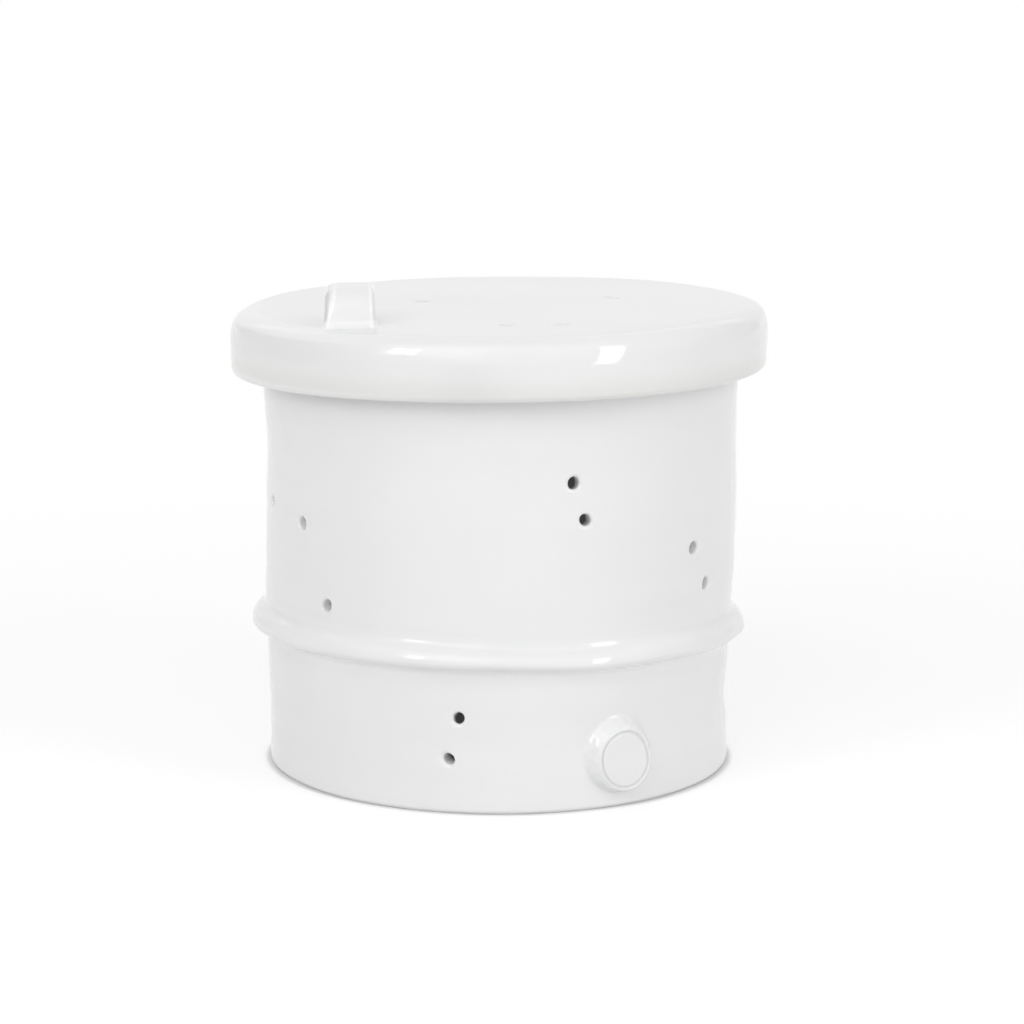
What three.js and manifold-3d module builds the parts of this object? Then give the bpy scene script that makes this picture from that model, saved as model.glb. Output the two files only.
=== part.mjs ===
// A garlic keeper: a white glazed stoneware pot with small vents, under a cap lid with a strap handle.
// Millimetres, +Z up, front towards -Y. The origin is the middle of the foot, where the pot stands.
// Angles round the pot are in degrees from the front and grow towards +X.

import * as THREE from 'three';
import { mergeVertices, toCreasedNormals } from 'three/addons/utils/BufferGeometryUtils.js';
import Module from 'manifold-3d';

const wasm = await Module();
wasm.setup();

// Pot
const potHeight = 123;
const potRimRadius = 66.4;
const potTaper = 1.6;
const potWall = 5.6;
const potFloor = 6.5;
const rimRound = 1.9;
const footRound = 0.8;
const floorFillet = 2.4;
const footRingWidth = 9;
const footRecess = 1.4;

// Band: a coil of clay smoothed down onto the wall, which rises a little towards the front and the left
const bandHeight = 40.1;
const bandProud = 4.1;
const bandFrontRise = 2.2;
const bandLeftRise = 0.7;
// Its section from below: where each curve ends, in degrees up from the horizontal, and the curve's radius
const bandStart = -75;
const bandCurves = [[12, 1.9], [42, 7.5], [80, 1.9]];

// Vents: small holes with a softened mouth
const ventBore = 3.1;
const ventMouth = 4.8;
const ventMouthDepth = 1;

// Lid: a cap whose skirt hangs round the rim with some play
const lidPlay = 2.3;
const lidTop = 6.5;
const lidWall = 6.3;
const lidSkirt = 16.8;
const lidEdgeWidth = 9.5;
const lidEdgeDrop = 5.6;
const lidHemRound = 1.9;
const lidInsideFillet = 1.8;

// Handle: a strap bent into a low arch, its two feet on the lid
const handleLength = 26;
const handleHeight = 9.8;
const handleWidth = 14.8;
const handleStrap = 3.9;
const handleShoulder = 5.2;
const handleArchFillet = 1.4;
const handleEdgeRound = 1.9;
const handleFootFlare = 1.3;
// The most of the strap's thickness that the rounding of one edge may take
const strapRoundShare = 0.46;

// Medallion: a round pad of clay with a ring pressed into its plain face
const medallionRadius = 11;
const medallionFaceRadius = 8.7;
const medallionRise = 3.6;
const medallionHeight = 13.6;
const medallionTurn = 31;
const ringRadius = 7.7;
const ringWidth = 0.9;
const ringDepth = 0.5;

// The room that the slip takes up where the band and the medallion sit on the wall
const seatGap = 0.3;

// Places of the vents in the wall: degrees from the front, and the share of the pot's height
const wallVentShares = [
  [17.6, 0.731], [20.6, 0.65],
  [53.5, 0.553], [59.7, 0.465],
  [-9.2, 0.214], [-11.6, 0.121],
  [-44.8, 0.432], [-53.1, 0.603], [-72.7, 0.624],
  [103, 0.7], [110, 0.61],
  [139, 0.5], [146, 0.41],
  [172, 0.72], [186, 0.2],
  [-150, 0.66], [-144, 0.57],
  [-112, 0.45],
];

// Places of the vents in the lid, and of the handle's middle: shares of the lid's radius in X and Y
const lidVentShares = [[-0.293, 0.108], [0.028, -0.595], [0.227, -0.589], [0.424, 0.16]];
const handlePlaceShares = [-0.529, -0.467];

// Fineness of the facets, and how far a cutter runs past what it cuts
const turnSteps = 60;
const ventSteps = 12;
const medallionSteps = 32;
const arcSteps = 2;
const overrun = 2;

const potFootRadius = potRimRadius - potTaper;
const lidInside = potRimRadius + lidPlay;
const lidRadius = lidInside + lidWall;
const lidHeight = potHeight + lidTop;
const rightAngle = Math.PI / 2;

const glaze = new THREE.MeshStandardMaterial({ color: 0xf0f0ee, roughness: 0.14, metalness: 0 });

// Joining and cutting

function toSolid(geometry) {
  const bare = geometry.clone();
  bare.deleteAttribute('normal');
  bare.deleteAttribute('uv');
  const merged = mergeVertices(bare);
  return new wasm.Manifold(new wasm.Mesh({
    numProp: 3,
    vertProperties: merged.attributes.position.array,
    triVerts: new Uint32Array(merged.index.array),
  }));
}

function toMesh(name, solid) {
  const { vertProperties, triVerts } = solid.getMesh();
  const geometry = new THREE.BufferGeometry();
  geometry.setAttribute('position', new THREE.BufferAttribute(vertProperties, 3));
  geometry.setIndex(new THREE.BufferAttribute(triVerts, 1));
  const mesh = new THREE.Mesh(toCreasedNormals(geometry, THREE.MathUtils.degToRad(30)), glaze);
  mesh.name = name;
  return mesh;
}

// Turns an outline of (radius, height) points round the Z axis
function revolve(outline, steps, arcDivisions = arcSteps) {
  return new THREE.LatheGeometry(outline.getPoints(arcDivisions), steps).rotateX(rightAngle);
}

// Rounds a corner of an outline: from where the outline is now, round the centre, to the end angle
function arc(outline, x, y, radius, from, to, clockwise = false) {
  outline.absarc(x, y, radius, THREE.MathUtils.degToRad(from), THREE.MathUtils.degToRad(to), clockwise);
}

// Pot

function wallRadius(height) {
  return THREE.MathUtils.lerp(potFootRadius, potRimRadius, height / potHeight);
}

// The outside of the wall as a full body, let out all round by a distance
function wallOutside(extra) {
  const outline = new THREE.Path();
  outline.moveTo(0, 0);
  outline.lineTo(potFootRadius + extra, 0);
  outline.lineTo(potRimRadius + extra, potHeight);
  outline.lineTo(0, potHeight);
  return toSolid(revolve(outline, turnSteps));
}

function potBody() {
  const ringInside = potFootRadius - footRingWidth;
  const insideFoot = wallRadius(potFloor) - potWall;
  const insideRim = potRimRadius - potWall;
  const outline = new THREE.Path();
  outline.moveTo(0, footRecess);
  outline.lineTo(ringInside - footRecess, footRecess);
  outline.lineTo(ringInside, 0);
  arc(outline, potFootRadius - footRound, footRound, footRound, -90, 0);
  arc(outline, potRimRadius - rimRound, potHeight - rimRound, rimRound, 0, 90);
  arc(outline, insideRim + rimRound, potHeight - rimRound, rimRound, 90, 180);
  arc(outline, insideFoot - floorFillet, potFloor + floorFillet, floorFillet, 0, -90, true);
  outline.lineTo(0, potFloor);
  return toSolid(revolve(outline, turnSteps));
}

// Vents

// A cutter along Z: its mouth lies at z = 0 and faces +Z, and the bore runs down from it
function ventCutter(depth) {
  const flare = (ventMouth - ventBore) / ventMouthDepth;
  const outline = new THREE.Path();
  outline.moveTo(0, -depth - overrun);
  outline.lineTo(ventBore / 2, -depth - overrun);
  outline.lineTo(ventBore / 2, -ventMouthDepth);
  outline.lineTo((ventMouth + overrun * flare) / 2, overrun);
  outline.lineTo(0, overrun);
  return revolve(outline, ventSteps);
}

// Moves a shape that faces +Z onto the wall, at an angle from the front and a height
function ontoWall(geometry, degrees, height, radius) {
  return geometry
    .rotateX(rightAngle)
    .translate(0, -radius, height)
    .rotateZ(THREE.MathUtils.degToRad(degrees));
}

function wallVents() {
  return wallVentShares.map(([degrees, share]) => {
    const height = share * potHeight;
    return toSolid(ontoWall(ventCutter(potWall), degrees, height, wallRadius(height)));
  });
}

function lidVents() {
  return lidVentShares.map(([x, y]) =>
    toSolid(ventCutter(lidTop).translate(x * lidRadius, y * lidRadius, lidHeight)));
}

function pot() {
  let solid = potBody();
  for (const vent of wallVents()) solid = solid.subtract(vent);
  return toMesh('pot', solid);
}

// Band and medallion: what lies outside the wall and the slip on it

function onSlip(name, geometry) {
  return toMesh(name, toSolid(geometry).subtract(wallOutside(seatGap)));
}

// The band's section lies on its side: its most proud line is at height 0, and its back is inside the wall
function bandSection(radius) {
  const back = radius - potWall / 2;
  const section = new THREE.Path();
  const [, firstRound] = bandCurves[0];
  const first = THREE.MathUtils.degToRad(bandStart);
  let x = radius + bandProud - firstRound;
  let y = 0;
  let from = bandStart;
  let round = firstRound;
  const under = x + firstRound * Math.cos(first);
  section.moveTo(back, firstRound * Math.sin(first) + (under - back) / Math.tan(first));
  section.lineTo(under, firstRound * Math.sin(first));
  for (const [to, radiusHere] of bandCurves) {
    // The next curve's centre lies on the line through the last one's end, so that the two run on smoothly
    x += (round - radiusHere) * Math.cos(THREE.MathUtils.degToRad(from));
    y += (round - radiusHere) * Math.sin(THREE.MathUtils.degToRad(from));
    arc(section, x, y, radiusHere, from, to);
    from = to;
    round = radiusHere;
  }
  section.lineTo(back, y + round);
  section.closePath();
  return section;
}

function band() {
  const radius = wallRadius(bandHeight);
  const coil = revolve(bandSection(radius), turnSteps)
    .rotateX(-Math.asin(bandFrontRise / radius))
    .rotateY(Math.asin(bandLeftRise / radius))
    .translate(0, 0, bandHeight);
  return onSlip('band', coil);
}

function medallion() {
  const ringInside = ringRadius - ringWidth / 2;
  const ringOutside = ringRadius + ringWidth / 2;
  const shoulder = medallionRadius - medallionFaceRadius;
  const outline = new THREE.Path();
  outline.moveTo(0, -overrun);
  outline.lineTo(medallionRadius, -overrun);
  outline.lineTo(medallionRadius, medallionRise - shoulder);
  arc(outline, medallionFaceRadius, medallionRise - shoulder, shoulder, 0, 90);
  outline.lineTo(ringOutside, medallionRise);
  outline.lineTo(ringOutside, medallionRise - ringDepth);
  outline.lineTo(ringInside, medallionRise - ringDepth);
  outline.lineTo(ringInside, medallionRise);
  outline.lineTo(0, medallionRise);
  const pad = revolve(outline, medallionSteps);
  return onSlip('medallion', ontoWall(pad, medallionTurn, medallionHeight, wallRadius(medallionHeight)));
}

// Lid

function lid() {
  const hem = lidHeight - lidSkirt;
  const outline = new THREE.Path();
  outline.moveTo(0, potHeight);
  outline.lineTo(lidInside - lidInsideFillet, potHeight);
  arc(outline, lidInside - lidInsideFillet, potHeight - lidInsideFillet, lidInsideFillet, 90, 0, true);
  arc(outline, lidInside + lidHemRound, hem + lidHemRound, lidHemRound, 180, 270);
  arc(outline, lidRadius - lidHemRound, hem + lidHemRound, lidHemRound, -90, 0);
  outline.absellipse(
    lidRadius - lidEdgeWidth, lidHeight - lidEdgeDrop, lidEdgeWidth, lidEdgeDrop, 0, rightAngle, false);
  outline.lineTo(0, lidHeight);
  let solid = toSolid(revolve(outline, turnSteps));
  for (const vent of lidVents()) solid = solid.subtract(vent);
  return toMesh('lid', solid);
}

// Handle

// The strap from the side: x is along the arch, y is up from the lid. The feet run on below the lid's top
function handleOutline(buried) {
  const half = handleLength / 2;
  const gap = half - handleStrap;
  const ceiling = handleHeight - handleStrap;
  const flare = handleFootFlare;
  const outline = new THREE.Shape();
  outline.moveTo(half + flare, -buried);
  outline.lineTo(half + flare, 0);
  arc(outline, half + flare, flare, flare, -90, -180, true);
  arc(outline, half - handleShoulder, handleHeight - handleShoulder, handleShoulder, 0, 90);
  arc(outline, handleShoulder - half, handleHeight - handleShoulder, handleShoulder, 90, 180);
  arc(outline, -half - flare, flare, flare, 0, -90, true);
  outline.lineTo(-half - flare, -buried);
  outline.lineTo(-gap, -buried);
  arc(outline, handleArchFillet - gap, ceiling - handleArchFillet, handleArchFillet, 180, 90, true);
  arc(outline, gap - handleArchFillet, ceiling - handleArchFillet, handleArchFillet, 90, 0, true);
  outline.lineTo(gap, -buried);
  return outline;
}

function handle() {
  const edge = Math.min(handleEdgeRound, handleStrap * strapRoundShare);
  const buried = 2 * edge + overrun;
  const strap = new THREE.ExtrudeGeometry(handleOutline(buried), {
    depth: handleWidth - 2 * edge,
    curveSegments: arcSteps * 2,
    bevelThickness: edge,
    bevelSize: edge,
    bevelOffset: -edge,
    bevelSegments: 3,
  });
  // The extrusion runs along Z: it is centred, stood up and turned, so that the arch spans along Y
  strap.translate(0, 0, edge - handleWidth / 2).rotateX(rightAngle).rotateZ(rightAngle);
  const reach = 2 * handleLength;
  const below = new THREE.BoxGeometry(reach, reach, 2 * buried).translate(0, 0, -buried);
  const mesh = toMesh('handle', toSolid(strap).subtract(toSolid(below)));
  const [x, y] = handlePlaceShares;
  mesh.position.set(x * lidRadius, y * lidRadius, lidHeight);
  return mesh;
}

const garlicKeeper = new THREE.Group();
garlicKeeper.add(pot(), band(), medallion(), lid(), handle());

export default garlicKeeper;
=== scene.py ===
"""A white glazed garlic keeper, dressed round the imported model.

The pot and the lid are turned bodies with real vents through them. The medallion and the handle are
modelled on their surfaces. Each piece is then bent a little, as hand-made work is.
Lengths are millimetres until a mesh is made. Angles round the pot are measured from the front (-Y) to +X.
"""

import math
import random

import bpy
import numpy as np
from mathutils import Matrix, Vector

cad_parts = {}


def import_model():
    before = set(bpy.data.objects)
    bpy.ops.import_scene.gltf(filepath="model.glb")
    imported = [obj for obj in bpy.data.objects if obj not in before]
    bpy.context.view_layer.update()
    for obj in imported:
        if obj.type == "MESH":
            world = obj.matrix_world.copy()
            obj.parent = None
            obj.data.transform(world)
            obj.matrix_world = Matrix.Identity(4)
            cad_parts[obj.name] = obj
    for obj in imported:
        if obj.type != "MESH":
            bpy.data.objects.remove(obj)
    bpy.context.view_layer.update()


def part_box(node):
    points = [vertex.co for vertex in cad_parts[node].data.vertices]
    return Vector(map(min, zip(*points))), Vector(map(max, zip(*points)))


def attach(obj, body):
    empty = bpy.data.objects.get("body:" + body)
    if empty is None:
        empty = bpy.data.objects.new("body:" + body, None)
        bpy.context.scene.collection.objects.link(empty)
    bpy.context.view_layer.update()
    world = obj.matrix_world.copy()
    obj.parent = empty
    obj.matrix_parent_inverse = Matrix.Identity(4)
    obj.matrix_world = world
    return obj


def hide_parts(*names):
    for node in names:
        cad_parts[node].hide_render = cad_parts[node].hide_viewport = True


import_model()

MM = 0.001


def node_box(node):
    low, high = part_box(node)
    return np.array(low) / MM, np.array(high) / MM


# Sizes that the frame gives
POT_HEIGHT = node_box("pot")[1][2]
LID_RADIUS = node_box("lid")[1][0]
LID_TOP = node_box("lid")[1][2]
LID_HEM = node_box("lid")[0][2]
HANDLE_LOW, HANDLE_HIGH = node_box("handle")
HANDLE_X, HANDLE_Y = ((HANDLE_LOW + HANDLE_HIGH) / 2)[:2]

# Pot
RIM_RADIUS = 66.4
FOOT_RADIUS = 64.8
POT_WALL = 5.6
POT_FLOOR = 6.5
RIM_ROUND = 2.2
FLOOR_FILLET = 2.4

# Foot ring. The glaze stops above the bare foot, which is set back a little
FOOT_RING = 9.0
FOOT_ROUND = 0.9
FOOT_SET_BACK = 0.45
FOOT_BARE = 0.3
GLAZE_STEP = 0.05
FOOT_RECESS = 1.4
RECESS_ROUND = 0.8
RECESS_RUN = 2.2
RING_INSIDE_ROUND = 0.7
RING_INSIDE_RUN = 0.6

# Band
BAND_HEIGHT = 40.1
BAND_PROUD = 4.1
BAND_FRONT_RISE = 2.2
BAND_LEFT_RISE = 0.7
BAND_WAVER = 0.35
BAND_REACH = 11.0
BAND_DENTS = 0.22
BAND_DENT_LENGTH = 17.0
# Right of the middle it was pressed lower and narrower. Each goes with its middle and width in radians
BAND_SAG = 0.9
BAND_SAG_PLACE = (0.38, 0.28)
BAND_SQUEEZE = 1.2
BAND_SQUEEZE_PLACE = (0.15, 0.35)
# Its section from below: how far the surface has tilted up at the end of each curve, in degrees, and the
# curve's radius. A negative radius is hollow
BAND_CURVES = ((-64, -1.6), (12, 1.8), (57, 5.9), (0, -3.1))
# Painted light against the shade in the crease under the band and on its upper side: how much lighter the
# glaze is made there, and the middle and width of those stretches, up the wall from the band's most proud
# line
BAND_TOP_PAINTED_LIGHT = 0.025
BAND_TOP_PLACE = (3.2, 2.4)
BAND_CREASE_PAINTED_LIGHT = 0.09
BAND_CREASE_PLACE = (-3.3, 1.0)

# Lid
LID_WALL = 6.3
LID_HEM_ROUND = 1.7
LID_INSIDE_FILLET = 1.8
# The lid's edge from the flat top outwards: how far up the surface faces at the end of each curve, in
# degrees from the horizontal, and the curve's radius
LID_EDGE_CURVES = ((86.5, 60.0), (74, 9.5), (17, 4.4), (-1.5, 14.0))
# Painted light and painted shade on the lid's outer millimetres, at its left and low on its front
LID_PAINTED_SHADE_WIDTH = 8
LID_LEFT_PAINTED_LIGHT_AND_SHADE = 0.05
LID_FRONT_PAINTED_SHADE = 0.05

# Medallion: a pad with a ring pressed into its face, measured along the wall, up it and out of it
MEDALLION_TURN = 31
MEDALLION_HEIGHT = 13.6
MEDALLION_RISE = 3.5
MEDALLION_FOOT = 10.9
MEDALLION_LEAN = 1.4
MEDALLION_LEAN_TURN = 35
MEDALLION_BUMP = 0.26
MEDALLION_SUNK = 1.4
MEDALLION_EDGE_SUNK = 0.05
MEDALLION_BACK_RADII = (9.5, 5.0)
FACE_RADII = (1.2, 2.4, 3.6, 4.8, 5.6, 6.3, 6.8)
FACE_HOLLOW = 0.1
RING_RADIUS = 7.6
RING_WIDTH = 1.24
RING_DEPTH = 0.5
# It is pressed a little narrow, and left of the pad's middle
RING_OVAL = 0.9
RING_ASIDE = -0.4
MEDALLION_COLUMNS = 96
RING_ROWS = 8
FLANK_ROWS = 18
# Painted shade in the ring's groove, at its deepest
GROOVE_PAINTED_SHADE = 0.08

# Handle: a strap along an arch that spans front to back
HANDLE_HALF = 11.05
HANDLE_RISE = 7.85
HANDLE_BEND = 3.2
HANDLE_WIDTH = 6.75
HANDLE_TAPER = 0.2
HANDLE_THICK = 1.95
HANDLE_LEFT_ROUND = 1.3
HANDLE_LEFT_ROUND_GAIN = 1.8
HANDLE_RIGHT_ROUND = 1.7
HANDLE_FILLET = 3.0
HANDLE_SPREAD_SHARE = 0.3
HANDLE_SUNK = 0.8
HANDLE_LEAN = 0.022
HANDLE_TURN = 3
HANDLE_ASIDE = -0.45
# Painted highlight on the front edges, strongest where the outline's normal lies this share across the strap
HANDLE_EDGE_PLACE = 0.22
HANDLE_EDGE_PAINTED_HIGHLIGHT = 0.14
# Painted light on the fillets where the strap's feet meet the lid
HANDLE_FILLET_PAINTED_LIGHT = 0.1
# Painted shade down the strap's left side
HANDLE_SIDE_PAINTED_SHADE = 0.2

# Vents
VENT_BORE = 1.5
VENT_MOUTH = 1.0
VENT_GLAZED = 1.0
VENT_INNER_ROUND = 0.8
VENT_ROOM = 3.3
LID_VENT_SIZE = 1.15
# The share of the usual mouth that each vent's can have, and the most that a bore is oval
VENT_MOUTH_SHARES = (0.85, 1.2)
VENT_OVAL = 0.07
VENT_LIP = 0.2

# Spacing of the meshes
COLUMNS = 320
STEP = 1.3

# Vents in the wall: degrees from the front, height, the bore against the usual one, how far the tool
# dragged the mouth right and up when it was pulled out, and how far the bore's far end leans right and up
WALL_VENTS = (
    (17.6, 89.9, 1.08, -0.1, 0.1, 0.2, -0.4), (20.6, 79.9, 1.05, -0.1, -0.1, 0.2, -0.3),
    (53.8, 68.2, 1.12, 0.1, 0.0, -1.0, 0.6), (59.7, 57.2, 1.12, 0.1, 0.0, -1.1, 0.7),
    (-9.2, 26.3, 0.98, -0.35, -0.3, 0.0, -1.1), (-11.6, 14.9, 1.0, -0.75, -0.1, 0.9, 0.2),
    (-45.3, 53.2, 1.12, -0.1, 0.0, 0.8, 0.5), (-54.4, 74.2, 1.12, -0.1, 0.0, 1.0, 0.6),
    (-72.7, 76.8, 1.0, 0.0, 0.1, 0.5, 0.2), (103, 86.1, 1.0, 0.2, 0.1, -0.2, -0.1),
    (110, 75.0, 0.95, -0.1, 0.2, 0.1, -0.2), (139, 61.5, 1.05, 0.3, 0.0, -0.3, 0.0),
    (146, 50.4, 1.0, 0.0, -0.2, 0.0, 0.2), (172, 88.6, 1.0, -0.2, 0.2, 0.2, -0.2),
    (186, 24.6, 0.95, 0.1, 0.1, -0.1, -0.1), (-150, 81.2, 1.0, 0.2, -0.2, -0.2, 0.2),
    (-144, 70.1, 1.05, -0.2, 0.0, 0.2, 0.0), (-112, 55.4, 1.0, 0.1, 0.2, -0.1, -0.2),
)
# Vents in the lid, where they are from its middle
LID_VENTS = ((-22.0, 8.1), (2.1, -44.6), (17.0, -44.2), (31.8, 12.0))

# Unevenness of the pot. Each table is (height, millimetres), joined by smooth steps
POT_SWELL = ((0, 0.4), (10, 0.1), (19, -0.2), (31, 0.25), (57, 0.85), (76, 0.75), (92, 0.25), (108, 0.65))
POT_SHIFT = ((6, 0.0), (21, -0.5), (31, -0.25), (50, 0.0), (57, 0.45), (78, 0.75), (90, 0.75), (108, 0.35))
POT_OVAL = 0.25
POT_WAVES = 0.09
POT_WAVE_LENGTH = 34.0
THROWING_LINES = 0.03
THROWING_PITCH = 9.5
RIM_SLOPE = 0.0139

# Unevenness of the lid
LID_OVAL = 0.22
LID_FIVES = 0.12
LID_THREES = 0.12
LID_WAVES = 0.11
LID_WAVE_LENGTH = 38.0
LID_TOP_WAVES = 0.16
LID_TOP_WAVE_LENGTH = 46.0
LID_LEFT_SWELL = 0.4
LID_SIDE_SAG = 0.45

# Colours
WHITE = (0.848, 0.85, 0.849)
CREAM = (0.793, 0.79, 0.772)
# The bare foot's clay, whose grey also paints the dark line of shade where the pot stands
BARE_CLAY_AND_PAINTED_SHADE = (0.6, 0.59, 0.57)
# Above the lid's hem the glaze is creamiest at one height and white again from another
CREAM_PEAK = 1.5
CREAM_FADES = 8
GLAZE_ROUGHNESS = 0.05
CLOUD_SCALE = 22
CLOUD_SPREAD = (0.3, 0.7)
CLOUD_DARKEST = 0.975
CLAY_ROUGHNESS = 0.8

# Camera
CAMERA_PLACE = (3.6, -909.2, 242.4)
CAMERA_PITCH = 10.724
CAMERA_ROLL = 0.0035
CAMERA_LENS = 114.84

# Floor
FLOOR_REACH = 9.0
FLOOR_BOUNCE = 0.85
SHADOWED_COLOUR = 0.45
SHADOWED_GLOW = 0.6
SHADOW_FADES = (0.12, 0.5)
DARK_LINE_FADES = (0.5, 2.7)

# Lights, in metres. The world's two levels are what lights a surface and what a glossy one shows
WORLD_LEVELS = (0.552, 0.8)
LAMP_AIM = Vector((0, 0, 0.07))
# Soft boxes: azimuth, elevation, distance, width, height, strength and slant. The last two make the
# highlights on the left and on the right of the lid and the band
SOFT_BOXES = {
    "horizon": (180, 16, 2.5, 3.6, 1.5, 0.05, 0),
    "back": (180, 50, 1.8, 2.4, 1.6, 0.11, 0),
    "fill": (0, 50, 1.6, 2.4, 1.6, 0.12, 0),
    "fill_left": (-30, 35, 1.6, 1.2, 1.2, 0.178, 0),
    "left": (-42, 27, 1.5, 0.3, 0.5, 0.1, 0),
    "window": (50, 18, 1.5, 0.3, 1.5, 0.26, -14),
}
INSIDE_PLACE = Vector((0, 0, 0.06))
INSIDE_SIZE = 0.02
INSIDE_STRENGTH = 0.018
INSIDE_REACH = 0.06


def polar(degrees, radius):
    turn = math.radians(degrees)
    return np.array([radius * math.sin(turn), -radius * math.cos(turn)])


def wall_radius(height):
    return FOOT_RADIUS + (RIM_RADIUS - FOOT_RADIUS) * height / POT_HEIGHT


def eased(table, height):
    """The table's value at each height, with smooth steps between its entries."""
    heights = np.array([row[0] for row in table], float)
    values = np.array([row[1] for row in table], float)
    k = np.clip(np.searchsorted(heights, height) - 1, 0, len(heights) - 2)
    t = np.clip((height - heights[k]) / (heights[k + 1] - heights[k]), 0, 1)
    return values[k] + (values[k + 1] - values[k]) * t * t * (3 - 2 * t)


def smooth_step(low, high, x):
    t = np.clip((x - low) / (high - low), 0, 1)
    return t * t * (3 - 2 * t)


def bell(x, middle, width):
    """1 at the middle, and next to nothing two widths away."""
    return np.exp(-(((x - middle) / width) ** 2))


def ripple(points, scale, seed):
    """A smooth random height between about -1 and 1, made of a few waves in random directions."""
    rng = np.random.default_rng(seed)
    total = np.zeros(len(points))
    for _ in range(9):
        direction = rng.normal(size=3)
        direction /= np.linalg.norm(direction)
        length = scale * rng.uniform(0.7, 1.5)
        total += np.sin(points @ direction * (2 * math.pi / length) + rng.uniform(0, 2 * math.pi))
    return total / 3


def bend_pot(points):
    x, y, z = np.array(points, float).T
    radius = np.hypot(x, y)
    angle = np.arctan2(x, -y)
    out_of_round = POT_OVAL * np.cos(2 * angle + 0.6) * smooth_step(20, 90, z)
    lines = THROWING_LINES * np.sin(z * 2 * math.pi / THROWING_PITCH + 1.1 * np.sin(angle * 2))
    swell = eased(POT_SWELL, z) + out_of_round + POT_WAVES * ripple(points, POT_WAVE_LENGTH, 3) + lines
    outward = np.where(radius > 1, swell / np.maximum(radius, 1), 0) * smooth_step(20, 50, radius)
    x2 = x * (1 + outward) + eased(POT_SHIFT, z)
    y2 = y * (1 + outward)
    # The band was laid by hand, so it rises and falls, and its surface is a little wavy
    on_band = smooth_step(0.6, 3.0, radius - wall_radius(z))
    dents = BAND_DENTS * ripple(points, BAND_DENT_LENGTH, 8) * on_band
    x2 = x2 + dents * np.sin(angle)
    y2 = y2 - dents * np.cos(angle)
    rise = BAND_FRONT_RISE * np.cos(angle) - BAND_LEFT_RISE * np.sin(angle)
    rise += BAND_WAVER * np.sin(3 * angle + 0.5) - BAND_SAG * bell(angle, *BAND_SAG_PLACE)
    up = z - BAND_HEIGHT
    squeeze = BAND_SQUEEZE * bell(angle, *BAND_SQUEEZE_PLACE)
    squeeze *= smooth_step(0, 5, up) * (1 - smooth_step(7, 22, up))
    z2 = z + rise * bell(up, 0, BAND_REACH) - squeeze + RIM_SLOPE * x * smooth_step(62, 112, z)
    return np.stack([x2, y2, z2], 1)


def bend_lid(points):
    x, y, z = np.array(points, float).T
    radius = np.hypot(x, y)
    angle = np.arctan2(x, -y)
    top = smooth_step(LID_HEM, LID_TOP, z)
    edge = smooth_step(55, LID_RADIUS, radius)
    swell = LID_OVAL * np.cos(2 * angle + 1.0) + LID_FIVES * np.sin(5 * angle + 0.4)
    swell += LID_WAVES * ripple(points, LID_WAVE_LENGTH, 11) + LID_LEFT_SWELL * np.maximum(0, -np.sin(angle))
    outward = np.where(radius > 1, swell * edge / np.maximum(radius, 1), 0)
    z2 = z + RIM_SLOPE * x + top * LID_TOP_WAVES * ripple(points, LID_TOP_WAVE_LENGTH, 21)
    # The skirt hangs a little lower at the sides
    z2 += (LID_THREES * np.sin(3 * angle + 2.0) - LID_SIDE_SAG * np.sin(angle) ** 2 * (1 - top)) * edge
    return np.stack([x * (1 + outward), y * (1 + outward), z2], 1)


class Net:
    """Points and faces of one mesh, while it is made."""

    def __init__(self):
        self.points = []
        self.faces = []
        self.shades = []

    def add(self, points, shades=1.0):
        """Adds points, each with the painted light and shade on its glaze colour, and gives their numbers.
        """
        first = len(self.points)
        self.points.extend(tuple(p) for p in points)
        self.shades.extend(np.broadcast_to(shades, len(self.points) - first))
        return list(range(first, len(self.points)))

    def strip(self, outer, inner):
        """Faces between two closed loops."""
        count = len(outer)
        for k in range(count):
            n = (k + 1) % count
            self.faces.append((outer[k], outer[n], inner[n], inner[k]))

    def fan(self, loop, centre, flip=False):
        """Faces from a closed loop to one point."""
        for k, a in enumerate(loop):
            b = loop[(k + 1) % len(loop)]
            self.faces.append((b, a, centre) if flip else (a, b, centre))


def make_piece(name, net, bend, body, nodes, material):
    points = bend(np.array(net.points))
    mesh = bpy.data.meshes.new(name)
    mesh.from_pydata([tuple(p) for p in points * MM], [], net.faces)
    mesh.validate()
    mesh.polygons.foreach_set("use_smooth", [True] * len(mesh.polygons))
    mesh.materials.append(material)
    # The shade attribute holds painted light and shade, which scale the glaze colour
    mesh.attributes.new("shade", "FLOAT", "POINT").data.foreach_set("value", net.shades)
    mesh.update()
    piece = bpy.data.objects.new(name, mesh)
    bpy.context.scene.collection.objects.link(piece)
    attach(piece, body)
    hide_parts(*nodes)


# Outlines are lists of (radius, height), from the axis underneath, round the outside, to the axis inside


def line(start, end, step=STEP):
    """Points from start up to, and not with, end."""
    count = max(1, round(math.dist(start, end) / step))
    return [tuple(np.array(start) + (np.array(end) - np.array(start)) * k / count) for k in range(count)]


def arc(x, y, radius, start, end, count):
    """Points round a centre from the start angle up to, and not with, the end angle, in degrees."""
    turns = [math.radians(start + (end - start) * k / count) for k in range(count)]
    return [(x + radius * math.cos(t), y + radius * math.sin(t)) for t in turns]


def levels(start, end):
    return list(np.linspace(start, end, round((end - start) / STEP) + 1))


def curve_on(points, radius, tilt, end, steps):
    """Adds a curve where the points end, which turns the surface from one tilt to another, in degrees."""
    out, up = points[-1]
    for k in range(1, steps + 1):
        turn = math.radians(tilt + (end - tilt) * k / steps)
        points.append((
            out + radius * (math.cos(turn) - math.cos(math.radians(tilt))),
            up + radius * (math.sin(turn) - math.sin(math.radians(tilt))),
        ))


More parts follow.
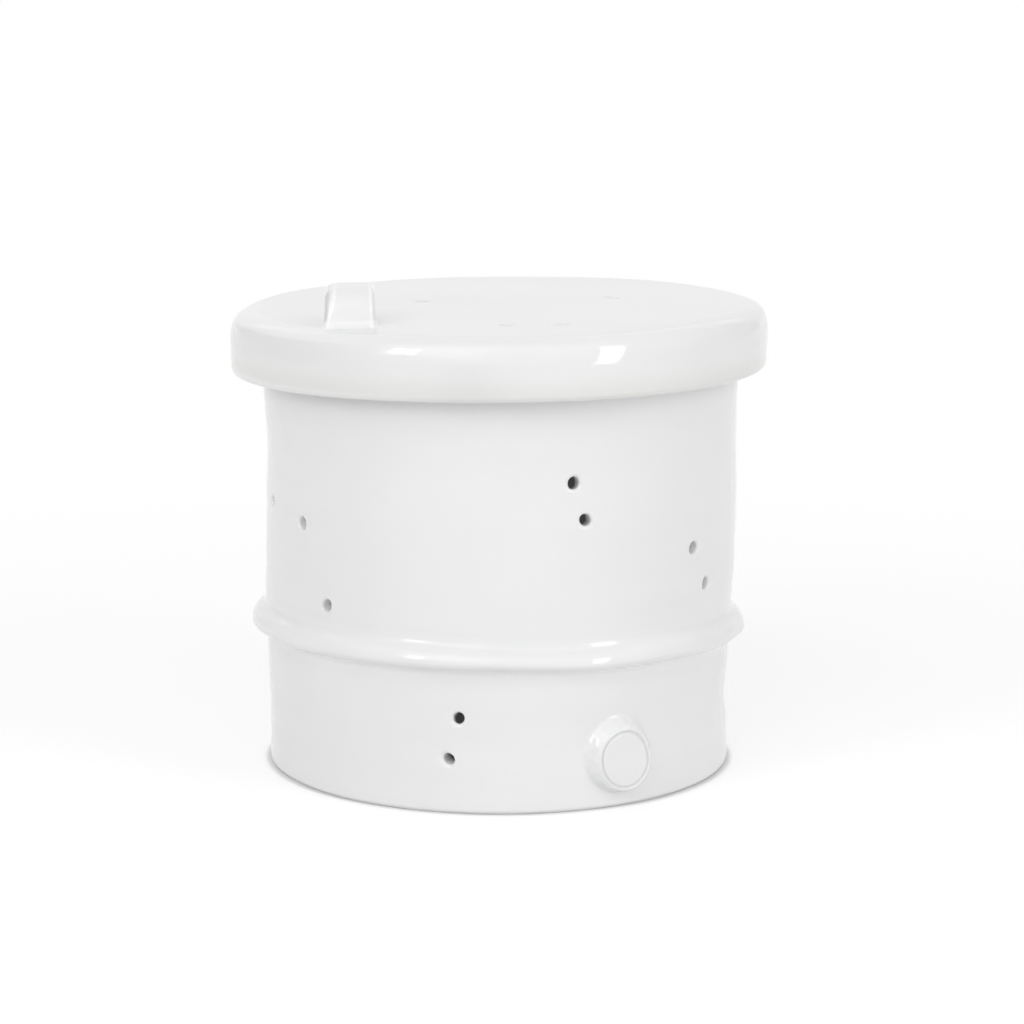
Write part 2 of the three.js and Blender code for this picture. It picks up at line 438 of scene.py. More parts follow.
def band_profile():
    """The band's section: (proud of the wall, height above its most proud line), from below."""
    points = [(0.0, 0.0)]
    tilt = 0
    for end, radius in BAND_CURVES:
        if radius > 0 and tilt < 0:
            # The flat underside runs out to where the first full curve begins
            out, up = points[-1]
            start = BAND_PROUD - radius * (1 - math.cos(math.radians(tilt)))
            corner = (start, up + (start - out) / math.tan(math.radians(-tilt)))
            points += line((out, up), corner, 0.4)[1:]
            points.append(corner)
        curve_on(points, radius, tilt, end, max(4, round(abs(math.radians(end - tilt) * radius) / 0.35)))
        tilt = end
    crest = max(points)[1]
    return [(max(out, 0.0), up - crest) for out, up in points]


def foot_profile():
    """From the middle of the underside, over the foot ring, to the lip of the glaze."""
    ring_inside = FOOT_RADIUS - FOOT_RING
    ring_flat = ring_inside + RING_INSIDE_RUN
    recess_edge = ring_inside - RECESS_RUN
    foot_side = FOOT_RADIUS - FOOT_SET_BACK
    profile = line((0, FOOT_RECESS), (recess_edge, FOOT_RECESS), 3.5)
    profile += arc(recess_edge, FOOT_RECESS - RECESS_ROUND, RECESS_ROUND, 90, 45, 3)
    profile += arc(ring_flat, RING_INSIDE_ROUND, RING_INSIDE_ROUND, 225, 270, 3)
    profile += line((ring_flat, 0), (foot_side - FOOT_BARE, 0), 2.0)
    profile += arc(foot_side - FOOT_BARE, FOOT_BARE, FOOT_BARE, -90, 0, 4)
    profile += [(foot_side, FOOT_BARE), (foot_side + GLAZE_STEP, FOOT_BARE)]
    lip_reach = foot_side + 2 * GLAZE_STEP - (FOOT_RADIUS - FOOT_ROUND)
    lip = math.degrees(math.asin(lip_reach / FOOT_ROUND))
    return profile + arc(FOOT_RADIUS - FOOT_ROUND, FOOT_BARE + FOOT_ROUND, FOOT_ROUND, lip - 90, 0, 8)


def pot_stations():
    """The pot's outline, and for each level of the plain wall its row outside and inside."""
    profile = foot_profile()
    band = band_profile()
    below = levels(FOOT_BARE + FOOT_ROUND + 0.3, BAND_HEIGHT + band[0][1] - 0.5)
    above = levels(BAND_HEIGHT + band[-1][1] + 0.5, POT_HEIGHT - RIM_ROUND - 0.4)
    outside = {}
    for height in below:
        outside[height] = len(profile)
        profile.append((wall_radius(height), height))
    profile += [(wall_radius(BAND_HEIGHT + h) + out, BAND_HEIGHT + h) for out, h in band]
    for height in above:
        outside[height] = len(profile)
        profile.append((wall_radius(height), height))
    rim_inside = RIM_RADIUS - POT_WALL
    profile += arc(RIM_RADIUS - RIM_ROUND, POT_HEIGHT - RIM_ROUND, RIM_ROUND, 0, 90, 8)
    profile += line((RIM_RADIUS - RIM_ROUND, POT_HEIGHT), (rim_inside + RIM_ROUND, POT_HEIGHT), 0.6)
    profile += arc(rim_inside + RIM_ROUND, POT_HEIGHT - RIM_ROUND, RIM_ROUND, 90, 180, 8)
    inside = {}
    for height in reversed(above):
        inside[height] = len(profile)
        profile.append((wall_radius(height) - POT_WALL, height))
    behind_band = line((0, above[0]), (0, below[-1]), 2.0)[1:]
    profile += [(wall_radius(height) - POT_WALL, height) for _, height in behind_band]
    for height in reversed(below):
        if height > POT_FLOOR + FLOOR_FILLET + 0.2:
            inside[height] = len(profile)
            profile.append((wall_radius(height) - POT_WALL, height))
    corner = wall_radius(POT_FLOOR) - POT_WALL - FLOOR_FILLET
    profile += arc(corner, POT_FLOOR + FLOOR_FILLET, FLOOR_FILLET, 0, -90, 8)
    profile += line((corner, POT_FLOOR), (0, POT_FLOOR), 2.5) + [(0, POT_FLOOR)]
    pairs = [(outside[h], inside[h]) for h in below + above if h in inside]
    return profile, pairs


def lid_edge():
    """The curves from the side of the lid up to its flat top."""
    points = [(0.0, 0.0)]
    tilt = 90
    for end, radius in LID_EDGE_CURVES:
        curve_on(points, radius, tilt, end, max(6, round(math.radians(tilt - end) * radius / 0.7)))
        tilt = end
    reach = max(points)[0]
    return [(LID_RADIUS - reach + out, LID_TOP + up) for out, up in reversed(points)]


def lid_surface(radius):
    """The height of the lid's outer surface at a radius."""
    radii, heights = zip(*reversed(lid_edge()))
    return np.interp(radius, radii, heights)


def lid_stations():
    """The lid's outline, and for each radius of its flat top its row on top and underneath."""
    inside = LID_RADIUS - LID_WALL
    under = POT_HEIGHT
    edge = lid_edge()
    radii = list(np.arange(3.0, edge[-1][0] - 0.5, STEP))
    profile = [(0, under)]
    below = {}
    for radius in radii:
        below[radius] = len(profile)
        profile.append((radius, under))
    profile += line((radii[-1], under), (inside - LID_INSIDE_FILLET, under))[1:]
    profile += arc(inside - LID_INSIDE_FILLET, under - LID_INSIDE_FILLET, LID_INSIDE_FILLET, 90, 0, 6)
    profile += line((inside, under - LID_INSIDE_FILLET), (inside, LID_HEM + LID_HEM_ROUND))
    profile += arc(inside + LID_HEM_ROUND, LID_HEM + LID_HEM_ROUND, LID_HEM_ROUND, 180, 270, 8)
    lean = LID_EDGE_CURVES[-1][0]
    hem_top = LID_HEM + LID_HEM_ROUND * (1 + math.sin(math.radians(lean)))
    hem_out = edge[0][0] + (edge[0][1] - hem_top) * math.tan(math.radians(lean))
    hem_middle = hem_out - LID_HEM_ROUND * math.cos(math.radians(lean))
    profile += line((inside + LID_HEM_ROUND, LID_HEM), (hem_middle, LID_HEM))
    profile += arc(hem_middle, LID_HEM + LID_HEM_ROUND, LID_HEM_ROUND, -90, lean, 8)
    profile += line((hem_out, hem_top), edge[0])
    profile += edge
    above = {}
    for radius in reversed(radii):
        above[radius] = len(profile)
        profile.append((radius, LID_TOP))
    profile.append((0, LID_TOP))
    return profile, [(above[r], below[r]) for r in reversed(radii)]


class Vent:
    """One vent. Each kind says where a point lies from its middle, and the other way round."""

    def __init__(self, seed, depth, size=1.0, drag=(0.0, 0.0), lean=(0.0, 0.0)):
        rng = random.Random(seed)
        self.depth = depth
        self.drag = np.array(drag)
        self.lean = np.array(lean)
        self.bore = VENT_BORE * size
        self.mouth = VENT_MOUTH * rng.uniform(*VENT_MOUTH_SHARES)
        self.oval = rng.uniform(0.0, VENT_OVAL)
        self.oval_turn = rng.uniform(0, math.pi)

    def rings(self):
        """(radius, depth, shift) of each ring, from the outer lip through the bore to the inner lip."""
        rings = [(self.bore + self.mouth + VENT_LIP, 0.0, self.drag)]
        for k in range(9):
            t = math.radians(90 * k / 8)
            out = 1 - math.sin(t)
            rings.append((self.bore + self.mouth * out, VENT_GLAZED * (1 - math.cos(t)), self.drag * out))
        end = self.depth - VENT_INNER_ROUND
        inner = [(self.bore, depth) for depth in (VENT_GLAZED + 0.15, self.depth / 2, end)]
        for k in range(1, 5):
            t = math.radians(90 * k / 4)
            out = VENT_INNER_ROUND * (1 - math.cos(t))
            inner.append((self.bore + out, end + VENT_INNER_ROUND * math.sin(t)))
        for radius, depth in inner:
            rings.append((radius, depth, self.lean * (depth - VENT_GLAZED) / (self.depth - VENT_GLAZED)))
        return rings

    def radius(self, radius, turn):
        return radius * (1 + self.oval * np.cos(2 * (turn - self.oval_turn)))


class WallVent(Vent):
    def __init__(self, degrees, height, size, drag_along, drag_up, lean_along, lean_up, seed):
        super().__init__(seed, POT_WALL, size, (drag_along, drag_up), (lean_along, lean_up))
        # The pot is bent after it is made, so the vent starts where the bend will carry it to its place
        target = np.array([*polar(degrees, wall_radius(height)), height])
        start = target.copy()
        for _ in range(6):
            miss = bend_pot(start[None])[0] - target
            start[2] -= miss[2]
            turn = math.atan2(start[0], -start[1]) - miss[0] * math.cos(math.radians(degrees)) / RIM_RADIUS
            start[:2] = polar(math.degrees(turn), wall_radius(start[2]))
        self.turn = math.atan2(start[0], -start[1])
        self.height = start[2]

    def flat(self, point):
        radius = math.hypot(point[0], point[1])
        turn = math.atan2(point[0], -point[1]) - self.turn
        return radius * math.sin(turn), point[2] - self.height

    def place(self, a, b, depth):
        radius = wall_radius(self.height + b) - depth
        turn = self.turn + math.asin(a / radius)
        return (*polar(math.degrees(turn), radius), self.height + b)


class LidVent(Vent):
    def __init__(self, x, y, seed):
        super().__init__(seed, LID_TOP - POT_HEIGHT, LID_VENT_SIZE)
        self.middle = np.array([x, y])
        self.inward = -self.middle / np.linalg.norm(self.middle)
        self.along = np.array([self.inward[1], -self.inward[0]])
        self.turn = math.atan2(x, -y)

    def flat(self, point):
        offset = np.array(point[:2]) - self.middle
        return float(offset @ self.along), float(offset @ self.inward)

    def place(self, a, b, depth):
        x, y = self.middle + self.along * a + self.inward * b
        return x, y, LID_TOP - depth


def turned_body(profile, pairs, vents, shade):
    """Turns an outline round the axis, and opens a window in it for each vent.

    pairs holds the row on the outer and on the inner surface, level by level in the outline's direction.
    """
    net = Net()
    turns = [2 * math.pi * k / COLUMNS for k in range(COLUMNS)]
    degrees = (np.degrees(turns) + 180) % 360 - 180
    rows = []
    for radius, height in profile:
        if radius < 1e-6:
            rows.append(net.add([(0, 0, height)]))
        else:
            ring = [(radius * math.sin(t), -radius * math.cos(t), height) for t in turns]
            rows.append(net.add(ring, shade(radius, height, degrees)))
    outer_level = {outer: k for k, (outer, _) in enumerate(pairs)}
    inner_level = {inner: k for k, (_, inner) in enumerate(pairs)}
    holes = [window(vent, net, rows, pairs) for vent in vents]
    for i, (here, there) in enumerate(zip(rows, rows[1:])):
        if len(here) == 1:
            net.fan(there, here[0], flip=True)
            continue
        if len(there) == 1:
            net.fan(here, there[0])
            continue
        for j in range(COLUMNS):
            if in_hole(i, j, outer_level, inner_level, holes):
                continue
            n = (j + 1) % COLUMNS
            net.faces.append((here[j], here[n], there[n], there[j]))
    for vent, hole in zip(vents, holes):
        outer = window_loop(rows, [p[0] for p in pairs], hole)
        inner = window_loop(rows, [p[1] for p in pairs], hole)
        bore(net, vent, outer, inner)
    return net


def window(vent, net, rows, pairs):
    """The columns and levels of the cells round a vent that leave room for its mouth."""
    column = round(vent.turn / (2 * math.pi) * COLUMNS)
    ups = [vent.flat(net.points[rows[outer][column % COLUMNS]])[1] for outer, _ in pairs]
    low = max(k for k, up in enumerate(ups) if up <= -VENT_ROOM)
    high = min(k for k, up in enumerate(ups) if up >= VENT_ROOM)
    first = last = column
    while vent.flat(net.points[rows[pairs[low][0]][first % COLUMNS]])[0] > -VENT_ROOM:
        first -= 1
    while vent.flat(net.points[rows[pairs[low][0]][last % COLUMNS]])[0] < VENT_ROOM:
        last += 1
    return first, last, low, high


def in_hole(i, j, outer_level, inner_level, holes):
    """Whether the cell above row i and right of column j lies in a window."""
    for levels_here, step in ((outer_level, 0), (inner_level, 1)):
        if i not in levels_here:
            continue
        level = levels_here[i] - step
        for first, last, low, high in holes:
            if low <= level < high and (j - first) % COLUMNS < last - first:
                return True
    return False


def window_loop(rows, levels_rows, hole):
    """The points round a window."""
    first, last, low, high = hole
    path = [(low, j) for j in range(first, last)]
    path += [(k, last) for k in range(low, high)]
    path += [(high, j) for j in range(last, first, -1)]
    path += [(k, first) for k in range(high, low, -1)]
    return [rows[levels_rows[k]][j % COLUMNS] for k, j in path]


def bore(net, vent, outer, inner):
    """Joins a window outside to the same window inside, by a softened mouth and a bore."""
    turns = []
    for index in outer:
        a, b = vent.flat(net.points[index])
        turns.append(math.atan2(b, a))
    loop = outer
    for radius, depth, shift in vent.rings():
        ring = []
        for turn in turns:
            r = vent.radius(radius, turn)
            ring.append(vent.place(r * math.cos(turn) + shift[0], r * math.sin(turn) + shift[1], depth))
        ring = net.add(ring)
        net.strip(loop, ring)
        loop = ring
    net.strip(loop, inner)


def pot_painted_light(radius, height, _):
    """Painted light in the shaded crease under the band and on the band's upper side, all the way round."""
    if radius - wall_radius(height) < -1:
        return 1.0
    up = height - BAND_HEIGHT
    return 1 + BAND_CREASE_PAINTED_LIGHT * bell(up, *BAND_CREASE_PLACE) + BAND_TOP_PAINTED_LIGHT * bell(up, *BAND_TOP_PLACE)


def lid_painted_light_and_shade(radius, height, degrees):
    """Painted light on the left of the flat top's edge, painted shade under it and low on the front."""
    side = float(radius > LID_RADIUS - LID_PAINTED_SHADE_WIDTH)
    down = LID_TOP - height
    left = smooth_step(15, 55, -degrees) * (1 - smooth_step(75, 120, -degrees))
    # Painted light on the top two millimetres at the left, and painted shade below them to about nine
    left_painted_rows = 1 - smooth_step(7, 11, down)
    thickness_and_painted_light_rows = 1 - smooth_step(2.0, 2.8, down)
    front = bell(degrees, -6, 8) * smooth_step(5, 8, down)
    return 1 - side * (LID_LEFT_PAINTED_LIGHT_AND_SHADE * left * (left_painted_rows - 2 * thickness_and_painted_light_rows) + LID_FRONT_PAINTED_SHADE * front)


def pot(material):
    profile, pairs = pot_stations()
    vents = [WallVent(*row, seed) for seed, row in enumerate(WALL_VENTS)]
    net = turned_body(profile, pairs, vents, pot_painted_light)
    make_piece("pot_glazed", net, bend_pot, "pot", ["pot", "band"], material)


def lid(material):
    profile, pairs = lid_stations()
    vents = [LidVent(x, y, 50 + seed) for seed, (x, y) in enumerate(LID_VENTS)]
    net = turned_body(profile, pairs, vents, lid_painted_light_and_shade)
    make_piece("lid_glazed", net, bend_lid, "lid", ["lid"], material)


def medallion(material):
    """A pad on the wall with a ring pressed into it, whose flank is broadest above and to the left."""
    net = Net()
    centre = wall_radius(MEDALLION_HEIGHT)

    def place(along, up, out):
        degrees = MEDALLION_TURN + math.degrees(along / centre)
        height = MEDALLION_HEIGHT + up
        return (*polar(degrees, wall_radius(height) + out), height)

    turns = [2 * math.pi * k / MEDALLION_COLUMNS for k in range(MEDALLION_COLUMNS)]
    face = [(r, -FACE_HOLLOW * (1 - (r / RING_RADIUS) ** 2)) for r in FACE_RADII]
    for k in range(RING_ROWS + 1):
        share = k / RING_ROWS
        sink = -RING_DEPTH * (1 - math.cos(2 * math.pi * share)) / 2
        face.append((RING_RADIUS + RING_WIDTH * (share - 0.5), sink))
    rings = [net.add([place(RING_ASIDE, 0, MEDALLION_RISE - FACE_HOLLOW)])]
    for radius, sink in face:
        ring = []
        for t in turns:
            along = RING_ASIDE + RING_OVAL * radius * math.sin(t)
            ring.append(place(along, radius * math.cos(t), MEDALLION_RISE + sink))
        # The ring's groove gets painted shade, darkest where it is deepest
        in_groove = radius > FACE_RADII[-1]
        rings.append(net.add(ring, 1 + GROOVE_PAINTED_SHADE * sink / RING_DEPTH if in_groove else 1.0))
    edge = face[-1][0]
    for k in range(1, FLANK_ROWS + 1):
        share = k / FLANK_ROWS
        fall = smooth_step(0, 1, share)
        oval = RING_OVAL + (1 - RING_OVAL) * share
        ring = []
        for t in turns:
            foot = MEDALLION_FOOT + MEDALLION_LEAN * math.cos(t + math.radians(MEDALLION_LEAN_TURN))
            radius = edge + (foot - edge) * share
            along, up = RING_ASIDE * (1 - share) + oval * radius * math.sin(t), radius * math.cos(t)
            # It was thumbed on, which left low bumps
            bump = math.sin(along * 1.9 + 1.3 * math.sin(up * 1.1)) * math.sin(up * 1.6 + 0.7)
            bump *= MEDALLION_BUMP * math.sin(math.pi * share)
            ring.append(place(along, up, MEDALLION_RISE * (1 - fall) - MEDALLION_EDGE_SUNK * fall + bump))
        rings.append(net.add(ring))
    for radius in MEDALLION_BACK_RADII:
        ring = [place(radius * math.sin(t), radius * math.cos(t), -MEDALLION_SUNK) for t in turns]
        rings.append(net.add(ring))
    back = net.add([place(0, 0, -MEDALLION_SUNK)])
    net.fan(rings[1], rings[0][0], flip=True)
    for inner, outer in zip(rings[1:], rings[2:]):
        net.strip(inner, outer)
    net.fan(rings[-1], back[0])
    make_piece("medallion_glazed", net, bend_pot, "pot", ["medallion"], material)


def strap_section(width, thickness_and_painted_light_rows, left, right, spread):
    """An outline round the strap, counter-clockwise, let out by a spread: a flat bar with rounded ends.

    With it go the shades: painted highlights on the edges of the flat, painted shade down the left side.
    """
    points, shades = [], []
    plain = max(0.0, 1 - spread / 1.5)
    for sx, sy, start in ((1, 1, 0), (-1, 1, 90), (-1, -1, 180), (1, -1, 270)):
        corner = right if sx > 0 else left
        for k in range(12):
            t = math.radians(start + 90 * k / 11)
            across = abs(math.cos(t))
            x = sx * (width - corner) + (corner + HANDLE_SPREAD_SHARE * spread) * math.cos(t)
            points.append((x, (thickness_and_painted_light_rows + spread) * math.sin(t)))
            # Painted highlight along the edges of the flat, on the strap's outer face
            edge = max(0, 1 - abs(across - HANDLE_EDGE_PLACE) / HANDLE_EDGE_PLACE) * (sy > 0)
            # Painted shade down the left side, which fades out where the feet spread
            side = HANDLE_SIDE_PAINTED_SHADE * float(smooth_step(0.5, 0.75, across)) * (sx < 0) * plain
            shades.append(1 + HANDLE_EDGE_PAINTED_HIGHLIGHT * edge - side)
    return points, shades


def handle_stations():
    """Along the strap's arch from front to back: (along, up, how far it has turned over, its spread)."""
    leg = HANDLE_RISE - HANDLE_BEND
    front = [(-HANDLE_HALF, -HANDLE_SUNK, 0.0, HANDLE_FILLET - 0.1)]
    for k in range(10):
        turn = math.radians(90 * k / 9)
        rise = HANDLE_FILLET * (1 - math.cos(turn))
        front.append((-HANDLE_HALF, rise, 0.0, HANDLE_FILLET * (1 - math.sin(turn))))
    front.append((-HANDLE_HALF, (HANDLE_FILLET + leg) / 2, 0.0, 0.0))
    for k in range(15):
        turn = math.radians(90 * k / 14)
        y = -HANDLE_HALF + HANDLE_BEND * (1 - math.cos(turn))
        front.append((y, leg + HANDLE_BEND * math.sin(turn), turn, 0.0))
    front.append((-(HANDLE_HALF - HANDLE_BEND) / 2, HANDLE_RISE, math.pi / 2, 0.0))
    back = [(-y, rise, math.pi - lean, spread) for y, rise, lean, spread in reversed(front)]
    return front + [(0.0, HANDLE_RISE, math.pi / 2, 0.0)] + back


def handle(material):
    net = Net()
    turned = math.radians(HANDLE_TURN)

    def place(x, y, up):
        x, y = x * math.cos(turned) - y * math.sin(turned), x * math.sin(turned) + y * math.cos(turned)
        x, y = HANDLE_X + HANDLE_ASIDE + x, HANDLE_Y + y
        return x, y, lid_surface(math.hypot(x, y)) + up

    stations = handle_stations()
    rings = []
    for y, rise, lean, spread in stations:
        high = smooth_step(0.5, HANDLE_RISE, rise)
        width = HANDLE_WIDTH - HANDLE_TAPER * high
        left = HANDLE_LEFT_ROUND + HANDLE_LEFT_ROUND_GAIN * high
        section, shades = strap_section(width, HANDLE_THICK, left, HANDLE_RIGHT_ROUND, spread)
        ring = []
        for x, out in section:
            # The strap's outer face looks to the front at the first foot, and up over the arch
            up = rise + out * math.sin(lean)
            along = (y - out * math.cos(lean)) * (1 - HANDLE_LEAN * max(up, 0))
            ring.append(place(x, along, up))
        # The fillets at the feet get painted light
        rings.append(net.add(ring, np.array(shades) + HANDLE_FILLET_PAINTED_LIGHT * (spread > 0.2)))
    for low, high in zip(rings, rings[1:]):
        net.strip(high, low)
    for ring, (y, rise, _, _), flip in ((rings[0], stations[0], False), (rings[-1], stations[-1], True)):
        middle = net.add([place(0, y, rise)])
        net.fan(ring, middle[0], flip=flip)
    make_piece("handle_glazed", net, bend_lid, "lid", ["handle"], material)


def new_node(nodes, kind, values=None):
    node = nodes.new(kind)
    for name, value in (values or {}).items():
        node.inputs[name].default_value = value
    return node


def mapped(nodes, links, value, low, high, to_low=0.0, to_high=1.0, smooth=False):
    """The value's place between low and high, as a number between two others."""
    ends = {"From Min": low, "From Max": high, "To Min": to_low, "To Max": to_high}
    node = new_node(nodes, "ShaderNodeMapRange", ends)
    if smooth:
        node.interpolation_type = "SMOOTHSTEP"
    links.new(value, node.inputs["Value"])
    return node.outputs[0]


def scaled(nodes, links, colour, factor):
    node = nodes.new("ShaderNodeVectorMath")
    node.operation = "SCALE"
    if isinstance(colour, tuple):
        node.inputs[0].default_value = colour
    else:
        links.new(colour, node.inputs[0])
    links.new(factor, node.inputs["Scale"])
    return node.outputs["Vector"]


def mixed(nodes, links, share, first, second):
    """The first shader where the share is 0 and the second where it is 1."""
    node = nodes.new("ShaderNodeMixShader")
    for socket, source in zip(node.inputs, (share, first, second)):
        links.new(source, socket)
    return node.outputs[0]


def surface_height(nodes, links):
    """The height of the surface in metres, measured on the piece itself."""
    local = nodes.new("ShaderNodeTexCoord")
    split = nodes.new("ShaderNodeSeparateXYZ")
    links.new(local.outputs["Object"], split.inputs[0])
    return split.outputs["Z"]


def colour_by_height(nodes, links, rows):
    """A colour that changes with the height of the surface. Each row is (millimetres, colour)."""
    low, high = rows[0][0], rows[-1][0]
    ramp = nodes.new("ShaderNodeValToRGB")
    ramp.color_ramp.interpolation = "EASE"
    for k, (height, colour) in enumerate(rows):
        position = (height - low) / (high - low)
        stop = ramp.color_ramp.elements[k] if k < 2 else ramp.color_ramp.elements.new(position)
        stop.position = position
        stop.color = (*colour, 1)
    share = mapped(nodes, links, surface_height(nodes, links), low * MM, high * MM)
    links.new(share, ramp.inputs["Fac"])
    return ramp.outputs["Color"]


def glaze_material(name, rows=None, bare_below=None):
    """White, faintly cloudy glaze. Its colour can change with height, and the clay be bare below one."""
    material = bpy.data.materials.new(name)
    material.use_nodes = True
    nodes, links = material.node_tree.nodes, material.node_tree.links
    shader = nodes["Principled BSDF"]
    shader.inputs["Roughness"].default_value = GLAZE_ROUGHNESS
    local = nodes.new("ShaderNodeTexCoord")
    cloud = new_node(nodes, "ShaderNodeTexNoise", {"Scale": CLOUD_SCALE, "Detail": 3})
    links.new(local.outputs["Object"], cloud.inputs["Vector"])
    cloudiness = mapped(nodes, links, cloud.outputs[0], *CLOUD_SPREAD, CLOUD_DARKEST, 1.0)
    # Painted light and shade from the mesh's shade attribute scale the colour
    painted_light_and_shade = nodes.new("ShaderNodeAttribute")
    painted_light_and_shade.attribute_name = "shade"
    colour = colour_by_height(nodes, links, rows) if rows else WHITE
    colour = scaled(nodes, links, colour, cloudiness)
    colour = scaled(nodes, links, colour, painted_light_and_shade.outputs["Fac"])
    links.new(colour, shader.inputs["Base Color"])
    if bare_below is not None:
        # Below the glaze line the clay is bare, and its grey also paints the shadow line where the pot
        # stands
        look = {"Base Color": (*BARE_CLAY_AND_PAINTED_SHADE, 1), "Roughness": CLAY_ROUGHNESS}
        clay = new_node(nodes, "ShaderNodeBsdfPrincipled", look)
        above = nodes.new("ShaderNodeMath")
        above.operation = "GREATER_THAN"
        above.inputs[1].default_value = bare_below * MM
        links.new(surface_height(nodes, links), above.inputs[0])
        surface = mixed(nodes, links, above.outputs[0], clay.outputs[0], shader.outputs[0])
        links.new(surface, nodes["Material Output"].inputs["Surface"])
    return material


def camera():
    data = bpy.data.cameras.new("camera")
    data.lens = CAMERA_LENS
    data.sensor_width = 36
    eye = bpy.data.objects.new("camera", data)
    bpy.context.scene.collection.objects.link(eye)
    pitch = Matrix.Rotation(math.radians(90 - CAMERA_PITCH), 4, "X")
    roll = Matrix.Rotation(CAMERA_ROLL, 4, "Z")
    eye.matrix_world = Matrix.Translation(Vector(CAMERA_PLACE) * MM) @ pitch @ roll
    bpy.context.scene.camera = eye


def seen_by_eye(nodes, links):
    """1 for rays from the camera or off a glossy or clear surface, and 0 for light that bounces."""
    rays = nodes.new("ShaderNodeLightPath")
    seen = rays.outputs["Is Camera Ray"]
    for kind in ("Is Glossy Ray", "Is Transmission Ray"):
        either = nodes.new("ShaderNodeMath")
        either.operation = "MAXIMUM"
        links.new(seen, either.inputs[0])
        links.new(rays.outputs[kind], either.inputs[1])
        seen = either.outputs[0]
    return seen


def floor():
    """A floor that is white to the eye and keeps the pot's shadow."""
    mesh = bpy.data.meshes.new("floor")
    corners = [(x * FLOOR_REACH, y * FLOOR_REACH, 0) for x, y in ((-1, -1), (1, -1), (1, 1), (-1, 1))]
    mesh.from_pydata(corners, [], [(0, 1, 2, 3)])
    material = bpy.data.materials.new("floor")
    material.use_nodes = True
    nodes, links = material.node_tree.nodes, material.node_tree.links
    nodes.clear()
    bounce = new_node(nodes, "ShaderNodeBsdfDiffuse", {"Color": (*[FLOOR_BOUNCE] * 3, 1)})
    white = nodes.new("ShaderNodeEmission")
    # Near the pot the floor's own glow is dimmer, so that the pot's shadow shows on it
    shadowed = new_node(nodes, "ShaderNodeBsdfDiffuse", {"Color": (*[SHADOWED_COLOUR] * 3, 1)})
    glow = new_node(nodes, "ShaderNodeEmission", {"Strength": SHADOWED_GLOW})
    near = nodes.new("ShaderNodeAddShader")
    links.new(shadowed.outputs[0], near.inputs[0])
    links.new(glow.outputs[0], near.inputs[1])
    place = nodes.new("ShaderNodeNewGeometry")
    length = nodes.new("ShaderNodeVectorMath")
    length.operation = "LENGTH"
    links.new(place.outputs["Position"], length.inputs[0])
    distance = length.outputs["Value"]
    far = mapped(nodes, links, distance, *SHADOW_FADES, smooth=True)
    # Right beside the foot it has no glow at all, which leaves the thin dark line where the pot stands
    line_ends = [(FOOT_RADIUS + fade) * MM for fade in DARK_LINE_FADES]
    off_foot = mapped(nodes, links, distance, *line_ends, smooth=True)
    shown = mixed(nodes, links, off_foot, bounce.outputs[0], near.outputs[0])
    shown = mixed(nodes, links, far, shown, white.outputs[0])
    surface = mixed(nodes, links, seen_by_eye(nodes, links), bounce.outputs[0], shown)
    out = nodes.new("ShaderNodeOutputMaterial")
    links.new(surface, out.inputs["Surface"])
    mesh.materials.append(material)
    ground = bpy.data.objects.new("floor", mesh)
    bpy.context.scene.collection.objects.link(ground)


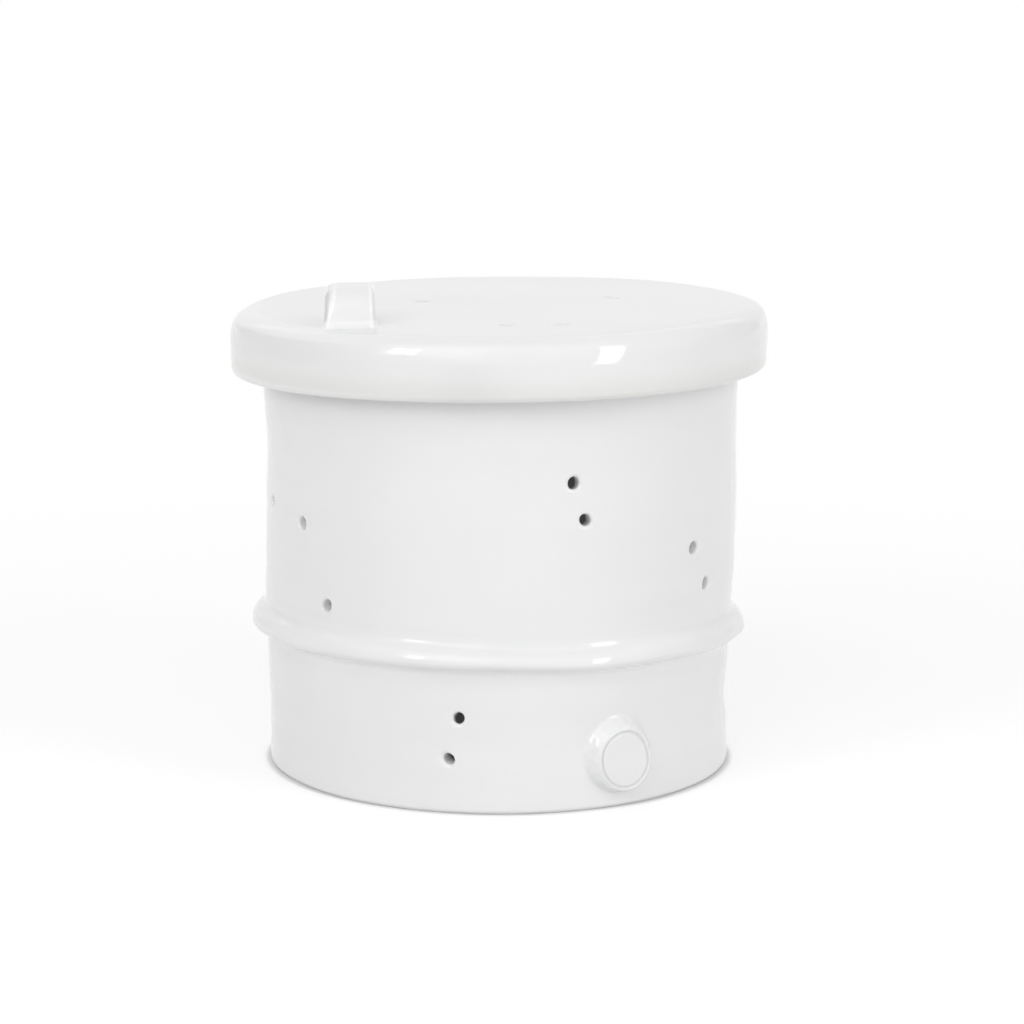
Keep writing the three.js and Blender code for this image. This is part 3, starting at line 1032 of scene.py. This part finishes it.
def world(ambient, reflected):
    """Even light. The eye sees it white, and a glossy or clear surface shows it a little below white."""
    data = bpy.data.worlds.new("world")
    bpy.context.scene.world = data
    data.use_nodes = True
    nodes, links = data.node_tree.nodes, data.node_tree.links
    nodes.clear()
    rays = nodes.new("ShaderNodeLightPath")
    level = nodes.new("ShaderNodeMath")
    level.operation = "MULTIPLY_ADD"
    links.new(rays.outputs["Is Camera Ray"], level.inputs[0])
    level.inputs[1].default_value = 1 - reflected
    level.inputs[2].default_value = reflected
    dim = new_node(nodes, "ShaderNodeBackground", {"Color": (1, 1, 1, 1), "Strength": ambient})
    white = new_node(nodes, "ShaderNodeBackground", {"Color": (1, 1, 1, 1)})
    links.new(level.outputs[0], white.inputs["Strength"])
    background = mixed(nodes, links, seen_by_eye(nodes, links), dim.outputs[0], white.outputs[0])
    out = nodes.new("ShaderNodeOutputWorld")
    links.new(background, out.inputs["Surface"])


def soft_box(name, azimuth, elevation, distance, width, height, strength, slant):
    """An area light on a sphere round the pot. Its strength is what it adds to a white face towards it."""
    data = bpy.data.lights.new(name, "AREA")
    data.shape = "RECTANGLE"
    data.size, data.size_y = width, height
    data.energy = strength * math.pi**2 * distance**2
    lamp = bpy.data.objects.new(name, data)
    bpy.context.scene.collection.objects.link(lamp)
    across = math.cos(math.radians(elevation)) * distance
    side, front = polar(azimuth, across)
    lamp.location = LAMP_AIM + Vector((side, front, math.sin(math.radians(elevation)) * distance))
    facing = (LAMP_AIM - lamp.location).to_track_quat("-Z", "Y").to_matrix()
    lamp.rotation_euler = (facing @ Matrix.Rotation(math.radians(slant), 3, "Z")).to_euler()


def inside_lamp(name, strength, distance):
    """A dim round lamp inside the pot, so that the vents aren't black.

    Its strength is what it adds to a white surface at the distance.
    """
    data = bpy.data.lights.new(name, "POINT")
    data.shadow_soft_size = INSIDE_SIZE
    data.energy = strength * 4 * math.pi**2 * distance**2
    lamp = bpy.data.objects.new(name, data)
    bpy.context.scene.collection.objects.link(lamp)
    lamp.location = INSIDE_PLACE


glaze = glaze_material("white_glaze")
pot_glaze = glaze_material("pot_glaze", bare_below=FOOT_BARE - 0.05)
hem_rows = ((LID_HEM, WHITE), (LID_HEM + CREAM_PEAK, CREAM), (LID_HEM + CREAM_FADES, WHITE))
lid_glaze = glaze_material("lid_glaze", rows=hem_rows)
pot(pot_glaze)
medallion(glaze)
lid(lid_glaze)
handle(glaze)
camera()
floor()
world(*WORLD_LEVELS)
for lamp_name, measures in SOFT_BOXES.items():
    soft_box(lamp_name, *measures)
inside_lamp("inside", INSIDE_STRENGTH, INSIDE_REACH)
bpy.context.scene.view_settings.view_transform = "Standard"
